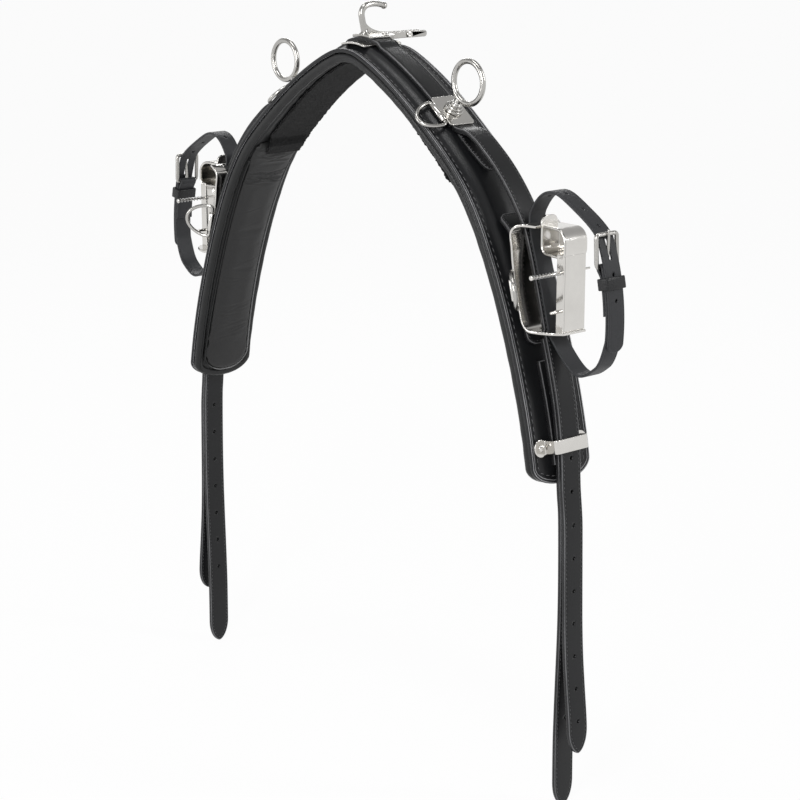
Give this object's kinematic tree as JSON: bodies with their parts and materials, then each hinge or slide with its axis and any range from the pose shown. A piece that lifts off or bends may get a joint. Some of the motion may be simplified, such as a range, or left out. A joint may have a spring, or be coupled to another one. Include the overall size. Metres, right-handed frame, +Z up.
{
  "type": "driving harness saddle",
  "caption": "Padded saddle of a trotting harness with rein rings, a check hook, a crupper fork, spring-latch shaft couplers, wrap straps and hanging girth billets.",
  "frame": {"origin": "underside of the lining at the crown, where the saddle rests on the horse's back", "axes": "+Z up, +Y to the horse's tail, +X to the horse's left side"},
  "size_m": [0.6832, 0.1165, 0.7564],
  "materials": {
    "black_leather": "semi-gloss dyed leather with stitched edges",
    "skirt_leather": "glossy dyed leather",
    "pad_leather": "soft matt leather over foam",
    "felt": "dark pressed felt",
    "polished_steel": "polished bright metal",
    "spring_steel": "plain spring steel"
  },
  "bodies": {
    "saddle": {"check_hook": "polished_steel", "crown_lining": "felt", "crown_plate": "polished_steel", "crupper_screw": "polished_steel", "hook_screw_left": "polished_steel", "hook_screw_right": "polished_steel", "left_coupler_body": "polished_steel", "left_coupler_safe": "black_leather", "left_keeper_rivet_front": "polished_steel", "left_keeper_rivet_rear": "polished_steel", "left_latch_spring": "spring_steel", "left_pad_cushion": "pad_leather", "left_side_strap": "black_leather", "left_stop_pin": "polished_steel", "left_strap_keeper": "polished_steel", "left_strap_safe": "black_leather", "left_strap_tuck": "black_leather", "left_terret_nut": "polished_steel", "left_terret_plate": "polished_steel", "left_terret_ring": "polished_steel", "left_under_strap": "black_leather", "left_wrap_buckle": "polished_steel", "left_wrap_strap": "black_leather", "ridge_strap": "black_leather", "right_coupler_body": "polished_steel", "right_coupler_safe": "black_leather", "right_keeper_rivet_front": "polished_steel", "right_keeper_rivet_rear": "polished_steel", "right_latch_spring": "spring_steel", "right_pad_cushion": "pad_leather", "right_side_strap": "black_leather", "right_stop_pin": "polished_steel", "right_strap_keeper": "polished_steel", "right_strap_safe": "black_leather", "right_strap_tuck": "black_leather", "right_terret_nut": "polished_steel", "right_terret_plate": "polished_steel", "right_terret_ring": "polished_steel", "right_under_strap": "black_leather", "right_wrap_buckle": "polished_steel", "right_wrap_strap": "black_leather", "saddle_panel": "pad_leather", "saddle_skirt": "skirt_leather", "saddle_tree": "spring_steel"},
    "left_terret_dee": {"left_terret_dee": "polished_steel"},
    "left_coupler_dee": {"left_coupler_dee": "polished_steel"},
    "left_latch_pin": {"left_latch_pin": "polished_steel"},
    "left_buckle_tongue": {"left_buckle_tongue": "polished_steel"},
    "left_wrap_keeper": {"left_wrap_keeper": "black_leather"},
    "left_short_billet": {"left_short_billet": "black_leather"},
    "left_long_billet": {"left_long_billet": "black_leather"},
    "right_terret_dee": {"right_terret_dee": "polished_steel"},
    "right_coupler_dee": {"right_coupler_dee": "polished_steel"},
    "right_latch_pin": {"right_latch_pin": "polished_steel"},
    "right_buckle_tongue": {"right_buckle_tongue": "polished_steel"},
    "right_wrap_keeper": {"right_wrap_keeper": "black_leather"},
    "right_short_billet": {"right_short_billet": "black_leather"},
    "right_long_billet": {"right_long_billet": "black_leather"}
  },
  "joints": [
    {"name": "left_terret_dee_swing", "type": "hinge", "parent": "saddle", "child": "left_terret_dee", "pos_m": [0.11913, -0.0178, -0.03734], "axis": [-0.7944, 0, 0.6074], "range_deg": [0, 100]},
    {"name": "left_coupler_dee_swing", "type": "hinge", "parent": "saddle", "child": "left_coupler_dee", "pos_m": [0.23871, -0.0305, -0.18804], "axis": [0.2419, 0, -0.9703], "range_deg": [-40, 80]},
    {"name": "left_latch_pin_slide", "type": "slide", "parent": "saddle", "child": "left_latch_pin", "axis": [0, 1, 0], "range_m": [0, 0.008], "stiffness_N_per_m": 300, "springref_m": -0.008, "deforming": ["left_latch_spring"]},
    {"name": "left_buckle_tongue_lift", "type": "hinge", "parent": "saddle", "child": "left_buckle_tongue", "pos_m": [0.32713, 0, -0.15703], "axis": [0, 1, 0], "range_deg": [0, 6]},
    {"name": "left_wrap_keeper_slip", "type": "hinge", "parent": "saddle", "child": "left_wrap_keeper", "pos_m": [0.14166, 0, -0.21004], "axis": [0, 1, 0], "range_deg": [0, 13]},
    {"name": "left_short_billet_swing", "type": "hinge", "parent": "saddle", "child": "left_short_billet", "pos_m": [0.29031, 0, -0.39359], "axis": [0, -1, 0], "range_deg": [0, 45]},
    {"name": "left_long_billet_swing", "type": "hinge", "parent": "saddle", "child": "left_long_billet", "pos_m": [0.28604, 0, -0.39412], "axis": [0, 1, 0], "range_deg": [0, 40]},
    {"name": "right_terret_dee_swing", "type": "hinge", "parent": "saddle", "child": "right_terret_dee", "pos_m": [-0.11913, -0.0178, -0.03734], "axis": [-0.7944, 0, -0.6074], "range_deg": [0, 100]},
    {"name": "right_coupler_dee_swing", "type": "hinge", "parent": "saddle", "child": "right_coupler_dee", "pos_m": [-0.23871, -0.0305, -0.18804], "axis": [0.2419, 0, 0.9703], "range_deg": [-40, 80]},
    {"name": "right_latch_pin_slide", "type": "slide", "parent": "saddle", "child": "right_latch_pin", "axis": [0, 1, 0], "range_m": [0, 0.008], "stiffness_N_per_m": 300, "springref_m": -0.008, "deforming": ["right_latch_spring"]},
    {"name": "right_buckle_tongue_lift", "type": "hinge", "parent": "saddle", "child": "right_buckle_tongue", "pos_m": [-0.32713, 0, -0.15703], "axis": [0, -1, 0], "range_deg": [0, 6]},
    {"name": "right_wrap_keeper_slip", "type": "hinge", "parent": "saddle", "child": "right_wrap_keeper", "pos_m": [-0.14166, 0, -0.21004], "axis": [0, -1, 0], "range_deg": [0, 13]},
    {"name": "right_short_billet_swing", "type": "hinge", "parent": "saddle", "child": "right_short_billet", "pos_m": [-0.29031, 0, -0.39359], "axis": [0, 1, 0], "range_deg": [0, 45]},
    {"name": "right_long_billet_swing", "type": "hinge", "parent": "saddle", "child": "right_long_billet", "pos_m": [-0.28604, 0, -0.39412], "axis": [0, -1, 0], "range_deg": [0, 40]}
  ]
}
